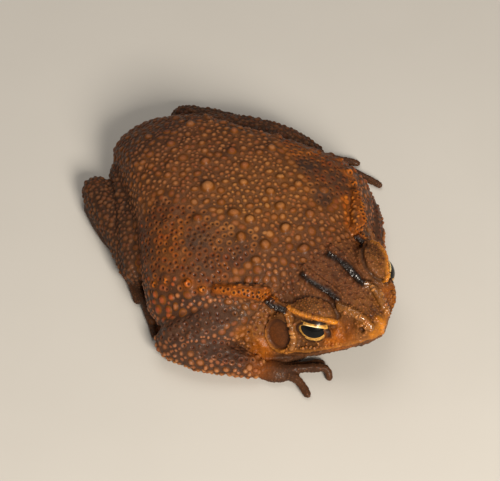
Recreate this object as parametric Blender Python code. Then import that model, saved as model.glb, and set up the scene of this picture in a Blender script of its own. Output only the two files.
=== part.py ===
"""A long-glanded toad sitting flat on the ground, at life size.

The toad faces -Y, its right side is -X, and its belly rests on the floor plane z = 0. All shapes
are given in the toad's own directions, in millimetres: forward, right and up. Nodes are kept
apart by GAP, and where two forms press together the softer one is cut round the firmer one.
"""

import math
import random

import bmesh
import bpy
import numpy as np
from mathutils import Matrix, Vector
from mathutils.bvhtree import BVHTree

MM = 0.001
GAP = 0.3
SIDES = {"right": 1, "left": -1}

# Head, torso and belly: one smooth body, narrow at the rump and at the snout.
# forward, top, crown half width and height, side half width and height, widest half width and
# height, belly half width, bottom
BODY_STATIONS = (
    (-25.4, 4.8, 1.0, 4.6, 1.5, 4.1, 1.7, 3.5, 1.1, 2.4),
    (-24.8, 6.6, 2.0, 6.3, 3.2, 5.4, 3.7, 4.3, 2.5, 1.3),
    (-23.0, 8.5, 3.0, 8.1, 4.6, 7.0, 5.2, 5.0, 3.8, 0.0),
    (-20.0, 10.6, 4.1, 10.1, 6.2, 8.5, 6.9, 5.4, 5.3, -0.5),
    (-16.0, 12.9, 5.4, 12.3, 8.2, 10.0, 9.0, 5.6, 7.0, -0.6),
    (-11.0, 14.0, 6.6, 13.3, 10.3, 10.6, 11.4, 5.5, 8.8, -0.6),
    (-6.0, 14.6, 7.8, 13.9, 13.0, 10.8, 14.6, 5.3, 10.8, -0.6),
    (-1.0, 14.7, 8.6, 14.0, 15.5, 10.6, 17.9, 5.1, 14.8, -0.6),
    (4.0, 14.5, 8.9, 13.8, 17.0, 10.3, 20.2, 4.8, 18.2, -0.6),
    (7.5, 14.2, 8.5, 13.5, 16.5, 10.1, 19.9, 4.6, 18.2, -0.6),
    (10.5, 13.8, 7.6, 13.1, 14.6, 9.7, 17.5, 4.4, 15.2, -0.5),
    (13.3, 13.3, 6.4, 12.8, 12.3, 9.1, 15.2, 3.8, 13.4, -0.3),
    (16.0, 12.9, 5.2, 12.4, 10.4, 8.5, 13.8, 2.8, 12.5, 0.0),
    (18.5, 12.6, 4.2, 12.3, 9.1, 8.1, 12.5, 2.5, 11.3, 0.3),
    (21.0, 12.3, 3.5, 12.2, 8.0, 8.2, 10.0, 3.0, 7.4, 1.0),
    (23.0, 12.1, 3.1, 12.0, 7.1, 8.3, 9.3, 4.1, 5.7, 1.8),
    (25.0, 11.9, 2.8, 11.8, 6.0, 8.5, 7.9, 5.1, 4.9, 2.6),
    (26.6, 11.7, 2.5, 11.6, 4.9, 9.0, 6.2, 6.2, 3.8, 3.8),
    (28.1, 11.4, 2.2, 11.3, 3.9, 9.3, 4.5, 7.1, 2.5, 4.9),
    (29.2, 11.1, 1.9, 11.0, 3.0, 9.4, 3.1, 7.7, 1.6, 5.9),
    (29.9, 10.7, 1.5, 10.6, 2.2, 9.3, 2.0, 8.1, 1.0, 6.8),
    (30.4, 9.9, 0.8, 9.8, 1.2, 9.1, 1.2, 8.5, 0.6, 7.8),
)
RINGS_ALONG_BODY = 36
NECK = 16.0
MOUTH_FRONT = (29.7, 7.6)
MOUTH_SLOPE = math.radians(25.0)

# Eye: its ball, the way it looks and the opening between the lids. The head is held a little
# askew, so the left eye and its lids are moved from the mirrored place of the right ones.
EYE_CENTRE = (22.9, 5.75, 8.5)
EYE_SHIFTS = {"right": (0.0, 0.0, 0.0), "left": (-0.3, 0.3, 0.8)}
EYE_RADIUS = 2.85
EYE_TURN = math.radians(35.0)
EYE_RISE = math.radians(14.0)
LID_OPENING = (2.35, 1.45)
BROW_SIZE = (3.9, 3.0, 3.2)
BROW_RIM = ((19.3, 7.7, 10.5), (21.1, 7.8, 11.1), (23.3, 6.8, 11.3), (25.6, 5.0, 10.7))
LID_FRONT = 2.15

# Ear drum: an oval disc in a shallow cup.
EAR_CENTRE = (19.8, 9.6, 6.3)
EAR_RADII = (2.0, 2.5)
EAR_DEPTH = 1.1
EAR_TILT = math.radians(16.0)

# Ridges of the head: path points and the ridge's radius.
RIDGES = {
    "parietal": (((16.9, 2.75, 12.75), (19.0, 2.75, 12.7), (21.4, 2.45, 12.45), (23.7, 2.1, 12.1)), 0.55),
    "canthal": (((24.7, 2.9, 11.7), (26.5, 2.4, 11.7), (28.2, 1.85, 11.3), (29.6, 1.5, 10.5)), 0.5),
    "supratympanic": (((16.9, 8.7, 10.4), (18.3, 8.7, 10.4), (19.6, 8.3, 10.2)), 0.6),
    "postorbital": (((20.0, 8.4, 10.0), (21.0, 8.8, 8.6), (21.9, 9.2, 6.8), (22.2, 9.1, 5.4)), 0.42),
}
NOSTRIL = (28.9, 3.0, 9.8)
NOSTRIL_RADIUS = 0.42
LIP_RADIUS = 0.42
LIP_OFFSET = 0.62
LIP_INSETS = {"upper_lip": 0.2, "lower_lip": 1.1}
JAW_CORNER = 20.3

# Gland behind the ear, and the row of warts that carries it on along the flank.
GLAND = ((15.9, 9.3, 11.1), (14.4, 10.7, 11.3), (12.5, 12.3, 11.2), (10.6, 13.7, 10.9))
GLAND_RADII = (1.25, 1.15, 0.95, 0.8)
GLAND_ROW = ((8.8, 15.0, 1.4), (6.5, 15.9, 1.7), (3.4, 17.2, 1.3), (1.4, 17.5, 1.3), (-1.6, 16.6, 1.2))

# Large warts of the back: forward, right and diameter.
BACK_WARTS = (
    (-2.6, 3.9, 2.2), (3.8, 4.3, 2.0), (6.1, 3.3, 1.7), (7.5, 6.3, 1.7), (10.7, 4.5, 1.9), (10.5, 0.3, 1.9),
    (14.6, 0.6, 1.8), (11.6, 7.2, 1.5), (-2.0, -3.0, 1.8), (-5.6, -3.6, 1.5), (-13.6, 1.6, 1.5),
    (-15.1, -3.5, 1.5), (-10.1, 4.4, 1.5), (3.0, -5.6, 1.6), (0.4, -0.6, 1.6), (5.6, -6.8, 1.5),
    (4.2, -2.4, 1.5), (7.1, -1.7, 1.8), (10.7, -4.3, 1.7), (-6.6, 0.8, 1.7), (-9.0, -7.2, 1.6),
    (-2.4, -8.8, 1.7), (-12.4, -8.0, 1.4), (-18.4, 2.2, 1.4), (-19.0, -4.0, 1.4), (8.4, -9.4, 1.6),
    (0.6, 8.6, 1.6),
)
FLANK_WARTS = 9
FLANK_WART_SIZES = (1.2, 1.7)
WART_HEIGHT = 0.36

# Limbs: path points (forward, right of the midline, up) and radii.
UPPER_ARM = {
    "right": (
        ((12.6, 10.2, 5.2), (11.2, 15.2, 4.9), (9.4, 19.2, 4.2)),
        (3.8, 3.9, 3.3),
    ),
    "left": (
        ((11.8, 9.6, 5.0), (9.6, 14.0, 4.7), (6.4, 17.4, 4.0)),
        (3.7, 3.7, 3.1),
    ),
}
FOREARM = {
    "right": (
        ((8.7, 20.3, 2.9), (12.6, 18.6, 2.85), (16.2, 16.2, 2.3), (18.9, 14.4, 1.75)),
        (2.7, 2.75, 2.2, 1.6),
    ),
    "left": (
        ((5.2, 18.4, 2.9), (9.4, 16.9, 2.8), (13.2, 14.6, 2.3), (16.2, 12.5, 1.75)),
        (2.6, 2.7, 2.2, 1.6),
    ),
}
PALM = {
    "right": ((21.2, 12.4, 1.05), (2.9, 1.65, 1.25), math.radians(-38.0)),
    "left": ((18.6, 10.8, 1.05), (2.9, 1.65, 1.25), math.radians(-36.0)),
}
FINGER_RADIUS = 0.62
FINGERS = {
    "right": (
        ((22.4, 11.2, 1.5), (24.6, 8.5, 1.75), (26.2, 6.7, 1.5), (27.2, 6.9, 0.6)),
        ((22.6, 11.6, 1.3), (24.5, 11.0, 1.3), (25.8, 10.9, 0.95), (27.2, 11.2, 0.55)),
        ((22.0, 11.0, 1.2), (23.6, 8.2, 1.1), (24.6, 6.0, 0.6)),
        ((20.6, 11.2, 1.1), (21.2, 8.8, 1.0), (21.8, 6.8, 0.6)),
    ),
    "left": (
        ((19.6, 9.6, 1.4), (21.8, 7.4, 1.5), (23.8, 5.9, 1.2), (24.8, 5.8, 0.6)),
        ((20.0, 10.0, 1.3), (22.0, 9.0, 1.3), (24.0, 8.2, 0.6)),
        ((19.4, 9.4, 1.2), (20.8, 6.6, 1.1), (21.8, 4.6, 0.6)),
        ((18.0, 9.4, 1.1), (18.6, 7.2, 1.0), (19.2, 5.2, 0.6)),
    ),
}
THIGH = {
    "right": (
        ((-20.0, 5.0, 4.2), (-14.4, 8.6, 4.2), (-8.8, 12.8, 3.9), (-5.0, 15.6, 3.4)),
        (2.9, 3.4, 3.2, 2.6),
    ),
    "left": (
        ((-20.6, 5.6, 4.6), (-14.6, 10.8, 4.8), (-8.6, 15.4, 4.4), (-4.6, 18.0, 3.4)),
        (3.2, 3.9, 3.7, 2.9),
    ),
}
SHANK = {
    "right": (
        ((-5.8, 16.0, 2.6), (-11.0, 13.4, 2.9), (-16.6, 11.6, 3.0), (-21.4, 10.2, 2.6)),
        (2.0, 2.6, 2.85, 2.35),
    ),
    "left": (
        ((-5.6, 18.6, 2.6), (-12.0, 15.6, 2.9), (-18.6, 12.2, 3.0), (-23.8, 9.8, 2.6)),
        (2.1, 2.7, 2.85, 2.35),
    ),
}
TARSUS = {
    "right": (
        ((-20.2, 12.0, 1.3), (-15.4, 13.5, 1.25), (-10.2, 14.4, 1.15), (-5.6, 16.2, 1.05)),
        (1.5, 1.45, 1.35, 1.3),
    ),
    "left": (
        ((-22.8, 11.8, 1.3), (-16.6, 14.8, 1.25), (-9.0, 18.4, 1.15), (-3.6, 20.8, 1.05)),
        (1.55, 1.5, 1.35, 1.3),
    ),
}
TOE_RADIUS = 0.62
TOES = {
    "right": (
        ((-6.4, 16.0, 1.1), (-2.6, 17.3, 0.95), (1.2, 19.0, 0.75), (4.4, 20.6, 0.55)),
        ((-6.4, 16.3, 1.0), (-4.2, 17.4, 0.8), (-2.2, 18.4, 0.55)),
        ((-6.2, 15.6, 1.0), (-2.8, 15.4, 0.85), (0.8, 16.0, 0.55)),
        ((-6.8, 15.2, 1.0), (-4.4, 14.0, 0.8), (-2.2, 13.6, 0.55)),
        ((-7.6, 14.8, 1.0), (-6.2, 13.4, 0.75), (-5.0, 12.4, 0.55)),
    ),
    "left": (
        ((-4.4, 20.6, 1.1), (-0.8, 22.4, 0.95), (2.4, 23.6, 0.75), (5.4, 24.4, 0.55)),
        ((-4.4, 21.4, 1.0), (-2.2, 23.4, 0.8), (-0.2, 25.0, 0.55)),
        ((-4.0, 20.0, 1.0), (-0.8, 20.2, 0.85), (2.4, 20.6, 0.55)),
        ((-4.6, 19.6, 1.0), (-2.4, 18.6, 0.8), (-0.6, 18.2, 0.55)),
        ((-5.6, 19.2, 1.0), (-4.6, 17.8, 0.75), (-3.8, 16.6, 0.55)),
    ),
}

# Colour, roughness and metallic value of each sub-part's own material.
SKIN_BROWN = (0.17, 0.07, 0.035)
SKIN_DARK = (0.08, 0.05, 0.042)
HEAD_RUST = (0.25, 0.10, 0.035)
EYE_GOLD = (0.45, 0.30, 0.08)


def place(forward, right, up):
    """The world point of a place given in the toad's own directions, in millimetres."""
    return Vector((-right, -forward, up)) * MM


def mirrored(point, side):
    """A point of the right side, moved to the named side."""
    return (point[0], point[1] * SIDES[side], point[2])


def by_the_eye(point, side):
    """A point near the right eye, as it lies by the named side's eye; still to be mirrored."""
    return tuple(value + shift for value, shift in zip(point, EYE_SHIFTS[side]))


def make_collection(name):
    collection = bpy.data.collections.new(name)
    bpy.context.scene.collection.children.link(collection)
    return collection


def object_from_bmesh(name, mesh_data, collection):
    """A new object that holds the mesh, with its faces pointing out."""
    bmesh.ops.recalc_face_normals(mesh_data, faces=mesh_data.faces)
    mesh = bpy.data.meshes.new(name)
    mesh_data.to_mesh(mesh)
    mesh_data.free()
    mesh.shade_smooth()
    made = bpy.data.objects.new(name, mesh)
    collection.objects.link(made)
    return made


def remove(*objects):
    for unwanted in objects:
        bpy.data.objects.remove(unwanted)


def smooth_curve(points, steps):
    """Points along the Catmull-Rom curve through the given ones, with steps in each stretch."""
    rows = np.array(points, float)
    padded = np.vstack([2 * rows[0] - rows[1], rows, 2 * rows[-1] - rows[-2]])
    curve = []
    for start in range(len(rows) - 1):
        a, b, c, d = padded[start : start + 4]
        for step in range(steps):
            t = step / steps
            bend = (2 * a - 5 * b + 4 * c - d) * t**2 + (3 * b - a - 3 * c + d) * t**3
            curve.append(0.5 * (2 * b + (c - a) * t + bend))
    curve.append(rows[-1])
    return np.array(curve)


def steady_slopes(x, y):
    """Slopes at each station that never overshoot between two stations."""
    rise = np.diff(y) / np.diff(x)
    slopes = np.zeros(len(x))
    slopes[0] = rise[0]
    slopes[-1] = rise[-1]
    for i in range(1, len(x) - 1):
        if rise[i - 1] * rise[i] > 0:
            slopes[i] = 2 * rise[i - 1] * rise[i] / (rise[i - 1] + rise[i])
    return slopes


def between_stations(x, y, at):
    """The smooth value at each place along the stations."""
    slopes = steady_slopes(x, y)
    index = np.clip(np.searchsorted(x, at) - 1, 0, len(x) - 2)
    span = x[index + 1] - x[index]
    t = (at - x[index]) / span
    return (
        (2 * t**3 - 3 * t**2 + 1) * y[index]
        + (t**3 - 2 * t**2 + t) * span * slopes[index]
        + (3 * t**2 - 2 * t**3) * y[index + 1]
        + (t**3 - t**2) * span * slopes[index + 1]
    )


def body_ring(forward, row):
    """The closed cross-section of the body at one station, as world points."""
    top, crown, crown_up, side, side_up, wide, wide_up, belly, bottom = row
    half = [
        (0.0, top),
        (crown, crown_up),
        (side, side_up),
        (wide, wide_up),
        (0.55 * belly + 0.45 * wide, 0.45 * wide_up + 0.55 * bottom),
        (belly, bottom + 0.12 * (wide_up - bottom)),
        (0.0, bottom),
    ]
    ring = half + [(-right, up) for right, up in half[-2:0:-1]]
    closed = ring[-2:] + ring + ring[:2]
    curve = smooth_curve(closed, 3)[6 : 6 + 3 * len(ring)]
    return [place(forward, right, up) for right, up in curve]


def loft(name, rings, collection):
    """A closed surface through rings of equal count, with a fan of faces at each end."""
    mesh = bmesh.new()
    rows = [[mesh.verts.new(point) for point in ring] for ring in rings]
    for near, far in zip(rows, rows[1:]):
        for i in range(len(near)):
            j = (i + 1) % len(near)
            mesh.faces.new((near[i], near[j], far[j], far[i]))
    for row in (rows[0], rows[-1]):
        centre = mesh.verts.new(sum((vertex.co for vertex in row), Vector()) / len(row))
        for i in range(len(row)):
            mesh.faces.new((row[i], row[(i + 1) % len(row)], centre))
    return object_from_bmesh(name, mesh, collection)


def ball(name, centre, radii, collection, turn=None, segments=16, rings=10):
    """An ellipsoid, given in the toad's directions and turned about its own centre."""
    mesh = bmesh.new()
    size = (radii[1] * MM, radii[0] * MM, radii[2] * MM)
    bmesh.ops.create_uvsphere(mesh, u_segments=segments, v_segments=rings, radius=1.0)
    matrix = Matrix.Translation(place(*centre)) @ (turn or Matrix()) @ Matrix.Diagonal((*size, 1.0))
    bmesh.ops.transform(mesh, matrix=matrix, verts=mesh.verts)
    return object_from_bmesh(name, mesh, collection)


def block(name, centre, size, collection, turn=None):
    """A box with its sizes along forward, right and up, turned about its own centre."""
    mesh = bmesh.new()
    bmesh.ops.create_cube(mesh, size=1.0)
    scale = Matrix.Diagonal((size[1] * MM, size[0] * MM, size[2] * MM, 1.0))
    matrix = Matrix.Translation(place(*centre)) @ (turn or Matrix()) @ scale
    bmesh.ops.transform(mesh, matrix=matrix, verts=mesh.verts)
    return object_from_bmesh(name, mesh, collection)


def oval_rod(name, frame, radii, start, end, collection):
    """An oval rod along the local Z of a frame, from start to end."""
    mesh = bmesh.new()
    bmesh.ops.create_cone(
        mesh, cap_ends=True, segments=24, radius1=1.0, radius2=1.0, depth=(end - start) * MM
    )
    middle = Matrix.Translation((0, 0, (start + end) / 2 * MM))
    matrix = frame @ middle @ Matrix.Diagonal((radii[0] * MM, radii[1] * MM, 1.0, 1.0))
    bmesh.ops.transform(mesh, matrix=matrix, verts=mesh.verts)
    return object_from_bmesh(name, mesh, collection)


def oval_ring(name, frame, radii, depth, thickness, collection):
    """A raised oval rim round the local Z of a frame."""
    wide, tall = radii
    around = [math.tau * i / 18 for i in range(18)]
    points = [frame @ (Vector((wide * math.cos(a), tall * math.sin(a), depth)) * MM) for a in around]
    curve = bpy.data.curves.new(name, "CURVE")
    curve.dimensions = "3D"
    curve.bevel_depth = thickness * MM
    curve.bevel_resolution = 1
    spline = curve.splines.new("POLY")
    spline.points.add(len(points) - 1)
    for place_on_curve, point in zip(spline.points, points):
        place_on_curve.co = (*point, 1.0)
    spline.use_cyclic_u = True
    return mesh_of_curve(name, curve, collection)


def mesh_of_curve(name, curve, collection):
    """The curve as a closed mesh object, with its caps welded."""
    drawn = bpy.data.objects.new(name + "_path", curve)
    collection.objects.link(drawn)
    bpy.context.view_layer.update()
    evaluated = drawn.evaluated_get(bpy.context.evaluated_depsgraph_get())
    mesh = bmesh.new()
    converted = bpy.data.meshes.new_from_object(evaluated)
    mesh.from_mesh(converted)
    bmesh.ops.remove_doubles(mesh, verts=mesh.verts, dist=1e-7)
    remove(drawn)
    return object_from_bmesh(name, mesh, collection)


def tube(name, path, radii, collection, grow=0.0, steps=4, sides=3):
    """A round tube through the path's points with a domed end at both ends."""
    widths = [radii] * len(path) if isinstance(radii, (int, float)) else list(radii)
    rows = smooth_curve([(*point, width) for point, width in zip(path, widths)], steps)
    centres = [place(*row[:3]) for row in rows]
    sizes = [(row[3] + grow) * MM for row in rows]
    ends = []
    for end, inner in ((0, 1), (-1, -2)):
        outward = (centres[end] - centres[inner]).normalized()
        dome = [
            (centres[end] + outward * sizes[end] * math.sin(a), sizes[end] * math.cos(a))
            for a in (math.radians(35), math.radians(62), math.radians(84))
        ]
        ends.append(dome)
    points = ends[0][::-1] + list(zip(centres, sizes)) + ends[1]
    curve = bpy.data.curves.new(name, "CURVE")
    curve.dimensions = "3D"
    curve.bevel_depth = MM
    curve.bevel_resolution = sides
    curve.use_fill_caps = True
    spline = curve.splines.new("POLY")
    spline.points.add(len(points) - 1)
    for place_on_curve, (point, size) in zip(spline.points, points):
        place_on_curve.co = (*point, 1.0)
        place_on_curve.radius = size / MM
    return mesh_of_curve(name, curve, collection)


def apply_modifiers(changed):
    bpy.context.view_layer.update()
    evaluated = changed.evaluated_get(bpy.context.evaluated_depsgraph_get())
    mesh = bpy.data.meshes.new_from_object(evaluated)
    changed.modifiers.clear()
    changed.data = mesh
    keep_largest(changed)


def keep_largest(changed):
    """Leaves only the largest closed surface of a mesh."""
    mesh = bmesh.new()
    mesh.from_mesh(changed.data)
    bmesh.ops.remove_doubles(mesh, verts=mesh.verts, dist=2e-7)
    left = set(mesh.verts)
    pieces = []
    while left:
        piece = set()
        front = [left.pop()]
        while front:
            vertex = front.pop()
            piece.add(vertex)
            linked = {edge.other_vert(vertex) for edge in vertex.link_edges} & left
            left -= linked
            front.extend(linked)
        pieces.append(piece)
    largest = max(pieces, key=box_of_vertices)
    bmesh.ops.delete(mesh, geom=[v for v in mesh.verts if v not in largest], context="VERTS")
    mesh.to_mesh(changed.data)
    mesh.free()
    changed.data.shade_smooth()


def box_of_vertices(vertices):
    """The volume of the box round some vertices."""
    points = np.array([vertex.co for vertex in vertices])
    return float(np.prod(np.ptp(points, axis=0) + 1e-6))


def combine(changed, others, operation, solver="EXACT"):
    """Joins the other objects to one, or cuts them from it, and removes them."""
    group = bpy.data.collections.new("operands")
    for other in others:
        group.objects.link(other)
    modifier = changed.modifiers.new(operation.lower(), "BOOLEAN")
    modifier.operation = operation
    modifier.operand_type = "COLLECTION"
    modifier.collection = group
    modifier.solver = solver
    apply_modifiers(changed)
    bpy.data.collections.remove(group)
    remove(*others)


def material(name, colour, roughness):
    made = bpy.data.materials.new(name)
    made.use_nodes = True
    shader = made.node_tree.nodes["Principled BSDF"]
    shader.inputs["Base Color"].default_value = (*colour, 1.0)
    shader.inputs["Roughness"].default_value = roughness
    shader.inputs["Metallic"].default_value = 0.0
    return made


def finish_node(made, name, colour, roughness, collection):
    """Names a sub-part, moves it to the toad's collection and gives it its own material."""
    made.name = name
    made.data.name = name
    for held in list(made.users_collection):
        held.objects.unlink(made)
    collection.objects.link(made)
    made.data.materials.clear()
    made.data.materials.append(material(name + "_skin", colour, roughness))


def copy_of(original, name, collection):
    made = bpy.data.objects.new(name, original.data.copy())
    collection.objects.link(made)
    return made


def whole_body(collection):
    """Rump, torso, neck and head as one smooth closed form."""
    table = np.array(BODY_STATIONS)
    forward = table[:, 0]
    share = np.linspace(0, len(forward) - 1, RINGS_ALONG_BODY)
    along = np.interp(share, np.arange(len(forward)), forward)
    columns = [between_stations(forward, table[:, i], along) for i in range(1, table.shape[1])]
    rings = [body_ring(f, row) for f, row in zip(along, zip(*columns))]
    return loft("body", rings, collection)


def mouth_up(forward):
    """The height of the mouth line at a place along the head."""
    return MOUTH_FRONT[1] - (MOUTH_FRONT[0] - forward) * math.tan(MOUTH_SLOPE)


def widest_at(forward):
    table = np.array(BODY_STATIONS)
    return float(between_stations(table[:, 0], table[:, 6], np.array([forward]))[0])


def lip(name, offset, collection):
    """A lip that runs from one corner of the mouth round the snout to the other."""
    inset = LIP_INSETS[name]
    half = []
    for f in (JAW_CORNER, 22.5, 25.0, 27.0, 28.4, 29.4):
        drawn_back = inset * (f - JAW_CORNER) / (MOUTH_FRONT[0] - JAW_CORNER)
        half.append((f - drawn_back, widest_at(f) - inset, mouth_up(f) + offset))
    path = half + [(30.1 - inset, 0.0, mouth_up(29.8) + offset)] + [(f, -r, u) for f, r, u in half[::-1]]
    return tube(name, path, LIP_RADIUS, collection, steps=2, sides=1)


def frame_looking(centre, turn, rise, side):
    """A frame at the centre whose Z looks sideways from the head, turned forward and raised."""
    outward = Vector(
        (-math.cos(turn) * math.cos(rise) * SIDES[side], -math.sin(turn) * math.cos(rise), math.sin(rise))
    )
    along = Vector((0, 0, 1)).cross(outward).normalized()
    upward = outward.cross(along)
    turned = Matrix((along, upward, outward)).transposed().to_4x4()
    return Matrix.Translation(place(*mirrored(centre, side))) @ turned


def brow(side, collection):
    """The upper eyelid's dome and the rim that hangs over the eye."""
    forward, right, up = by_the_eye(EYE_CENTRE, side)
    centre = (forward - 0.5, right - 0.3, up + 0.6)
    turn = Matrix.Rotation(EYE_TURN * SIDES[side], 4, "Z")
    dome = ball("brow", mirrored(centre, side), BROW_SIZE, collection, turn)
    path = [mirrored(by_the_eye(p, side), side) for p in BROW_RIM]
    rim = tube("rim", path, 0.5, collection, steps=2, sides=1)
    return [dome, rim]


def head_forms(side, collection):
    """What stands out from one side of the head."""
    forms = brow(side, collection)
    for name, (path, radius) in RIDGES.items():
        forms.append(tube(name, [mirrored(p, side) for p in path], radius, collection, steps=2, sides=1))
    ear = frame_looking(EAR_CENTRE, 0.0, EAR_TILT, side)
    forms.append(oval_ring("ear_rim", ear, (EAR_RADII[0] + 0.5, EAR_RADII[1] + 0.5), 0.0, 0.4, collection))
    eye = frame_looking(by_the_eye(EYE_CENTRE, side), EYE_TURN, EYE_RISE, side)
    rim = (LID_OPENING[0] + 0.2, LID_OPENING[1] + 0.2)
    forms.append(oval_rod("lids", eye, (rim[0] + 0.55, rim[1] + 0.5), 0.3, LID_FRONT, collection))
    return forms


def head_hollows(side, collection):
    """The eye socket, the lid opening, the ear's cup and the nostril of one side."""
    centre = by_the_eye(EYE_CENTRE, side)
    eye = frame_looking(centre, EYE_TURN, EYE_RISE, side)
    ear = frame_looking(EAR_CENTRE, 0.0, EAR_TILT, side)
    size = EYE_RADIUS + GAP
    return [
        ball("socket", mirrored(centre, side), (size, size, size), collection),
        oval_rod("opening", eye, LID_OPENING, 1.0, 6.0, collection),
        oval_rod("cup", ear, EAR_RADII, -EAR_DEPTH, 3.0, collection),
        ball("nostril", mirrored(NOSTRIL, side), (NOSTRIL_RADIUS,) * 3, collection, None, 12, 8),
    ]


def eye(side, collection):
    centre = mirrored(by_the_eye(EYE_CENTRE, side), side)
    made = ball("eye", centre, (EYE_RADIUS,) * 3, collection)
    finish_node(made, "eye_" + side, EYE_GOLD, 0.08, collection)


def ear_drum(side, collection):
    """The drum is an oval disc, slightly domed, that fills its cup."""
    frame = frame_looking(EAR_CENTRE, 0.0, EAR_TILT, side)
    radii = (EAR_RADII[0] - GAP, EAR_RADII[1] - GAP)
    made = oval_rod("drum", frame, radii, GAP - EAR_DEPTH, -0.1, collection)
    finish_node(made, "tympanum_" + side, HEAD_RUST, 0.4, collection)


def surface_of(shape):
    bpy.context.view_layer.update()
    return BVHTree.FromObject(shape, bpy.context.evaluated_depsgraph_get())


def wart(surface, forward, right, diameter, collection):
    """A low dome on the back, set square on the surface below a place seen from above."""
    point, normal, _, _ = surface.ray_cast(place(forward, right, 40), Vector((0, 0, -1)))
    turn = normal.to_track_quat("Z", "Y").to_matrix().to_4x4()
    mesh = bmesh.new()
    bmesh.ops.create_uvsphere(mesh, u_segments=6, v_segments=5, radius=1.0)
    half = diameter / 2 * MM
    size = Matrix.Diagonal((half, half, WART_HEIGHT * diameter * MM, 1.0))
    bmesh.ops.transform(mesh, matrix=Matrix.Translation(point) @ turn @ size, verts=mesh.verts)
    return object_from_bmesh("wart", mesh, collection)


def flank_wart_places():
    """Warts along both flanks, scattered but never on top of one another."""
    draw = random.Random(5)
    places = []
    while len(places) < FLANK_WARTS:
        forward = draw.uniform(-20.0, 8.0)
        right = draw.choice((-1, 1)) * (0.84 * widest_at(forward) - draw.uniform(0.0, 3.0))
        size = draw.uniform(*FLANK_WART_SIZES)
        others = places + list(BACK_WARTS) + [(f, s * r, d) for f, r, d in GLAND_ROW for s in (1, -1)]
        if all(math.hypot(forward - f, right - r) > 0.6 * (size + d) for f, r, d in others):
            places.append((forward, right, size))
    return places


def torso_forms(surface, collection):
    """The glands behind the ears, the rows of warts that follow them and the back's large warts."""
    forms = []
    for side, sign in SIDES.items():
        path = [mirrored(p, side) for p in GLAND]
        forms.append(tube("gland", path, GLAND_RADII, collection, steps=2, sides=3))
        forms += [wart(surface, f, r * sign, d, collection) for f, r, d in GLAND_ROW]
    for forward, right, diameter in list(BACK_WARTS) + flank_wart_places():
        forms.append(wart(surface, forward, right, diameter, collection))
    return forms


def limb(table, side, collection, grow=0.0):
    path, radii = table[side]
    return tube("limb", [mirrored(p, side) for p in path], radii, collection, grow, steps=3, sides=2)


def digits(table, side, radius, collection, grow=0.0):
    made = []
    for points in table[side]:
        path = [mirrored(p, side) for p in points]
        widths = np.linspace(1.15, 0.85, len(path)) * radius
        made.append(tube("digit", path, widths, collection, grow, steps=2, sides=1))
    return made


def palm(side, collection, grow=0.0):
    centre, radii, turn = PALM[side]
    size = [radius + grow for radius in radii]
    turned = Matrix.Rotation(-turn * SIDES[side], 4, "Z")
    return ball("palm", mirrored(centre, side), size, collection, turned, 14, 8)


def hand(side, collection, grow=0.0):
    made = palm(side, collection, grow)
    combine(made, digits(FINGERS, side, FINGER_RADIUS, collection, grow), "UNION")
    return made


def foot(side, collection, grow=0.0):
    made = limb(TARSUS, side, collection, grow)
    combine(made, digits(TOES, side, TOE_RADIUS, collection, grow), "UNION")
    return made


def floor_cutter(collection):
    """Everything under the floor plane."""
    return block("floor", (0, 0, -10.0), (90, 80, 20), collection)


def make_limbs(side, parts, cutters):
    """One arm and one leg, each cut clear of what it presses on."""
    grown = {
        "hand": hand(side, cutters, GAP),
        "forearm": limb(FOREARM, side, cutters, GAP),
        "upper_arm": limb(UPPER_ARM, side, cutters, GAP),
        "foot": foot(side, cutters, GAP),
        "shank": limb(SHANK, side, cutters, GAP),
        "thigh": limb(THIGH, side, cutters, GAP),
    }
    made = {
        "hand": hand(side, cutters),
        "forearm": limb(FOREARM, side, cutters),
        "upper_arm": limb(UPPER_ARM, side, cutters),
        "foot": foot(side, cutters),
        "shank": limb(SHANK, side, cutters),
        "thigh": limb(THIGH, side, cutters),
    }
    pressed_on = {
        "hand": ("forearm",),
        "forearm": (),
        "upper_arm": ("forearm",),
        "foot": (),
        "shank": ("foot",),
        "thigh": ("shank", "foot"),
    }
    for name, firmer in pressed_on.items():
        tools = [copy_of(grown[other], "clear", cutters) for other in firmer]
        combine(made[name], tools + [floor_cutter(cutters)], "DIFFERENCE")
        finish_node(made[name], name + "_" + side, SKIN_DARK, 0.5, parts)
    return list(grown.values())


def mouth_block(name, over, collection):
    """Everything over or under the mouth line, and half a gap past it."""
    depth = 40.0
    lift = (depth - GAP) / 2 * (1 if over else -1)
    forward = MOUTH_FRONT[0] - lift * math.sin(MOUTH_SLOPE)
    up = MOUTH_FRONT[1] + lift * math.cos(MOUTH_SLOPE)
    turn = Matrix.Rotation(-MOUTH_SLOPE, 4, "X")
    return block(name, (forward, 0, up), (120, 80, depth), collection, turn)


def clear_of(shape, limb_space, others, collection):
    """Cuts the shape free of the floor, of the limbs that press on it and of the other tools."""
    limbs = [copy_of(limb_form, "clear", collection) for limb_form in limb_space]
    combine(shape, [floor_cutter(collection), *limbs, *others], "DIFFERENCE")


def make_torso(torso, limb_space, parts, cutters):
    combine(torso, torso_forms(surface_of(torso), cutters), "UNION", "MANIFOLD")
    ahead = block("ahead", (NECK + 30.0, 0, 0), (60.0, 80, 80), cutters)
    clear_of(torso, limb_space, [ahead], cutters)
    finish_node(torso, "torso", SKIN_BROWN, 0.5, parts)


def make_head(head, limb_space, parts, cutters):
    forms = [lip("upper_lip", LIP_OFFSET, cutters)]
    hollows = []
    for side in SIDES:
        forms += head_forms(side, cutters)
        hollows += head_hollows(side, cutters)
    combine(head, forms, "UNION")
    behind = block("behind", (NECK + GAP - 30.0, 0, 0), (60.0, 80, 80), cutters)
    clear_of(head, limb_space, [behind, mouth_block("below", False, cutters), *hollows], cutters)
    finish_node(head, "head", HEAD_RUST, 0.4, parts)
    for side in SIDES:
        eye(side, parts)
        ear_drum(side, parts)


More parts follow.
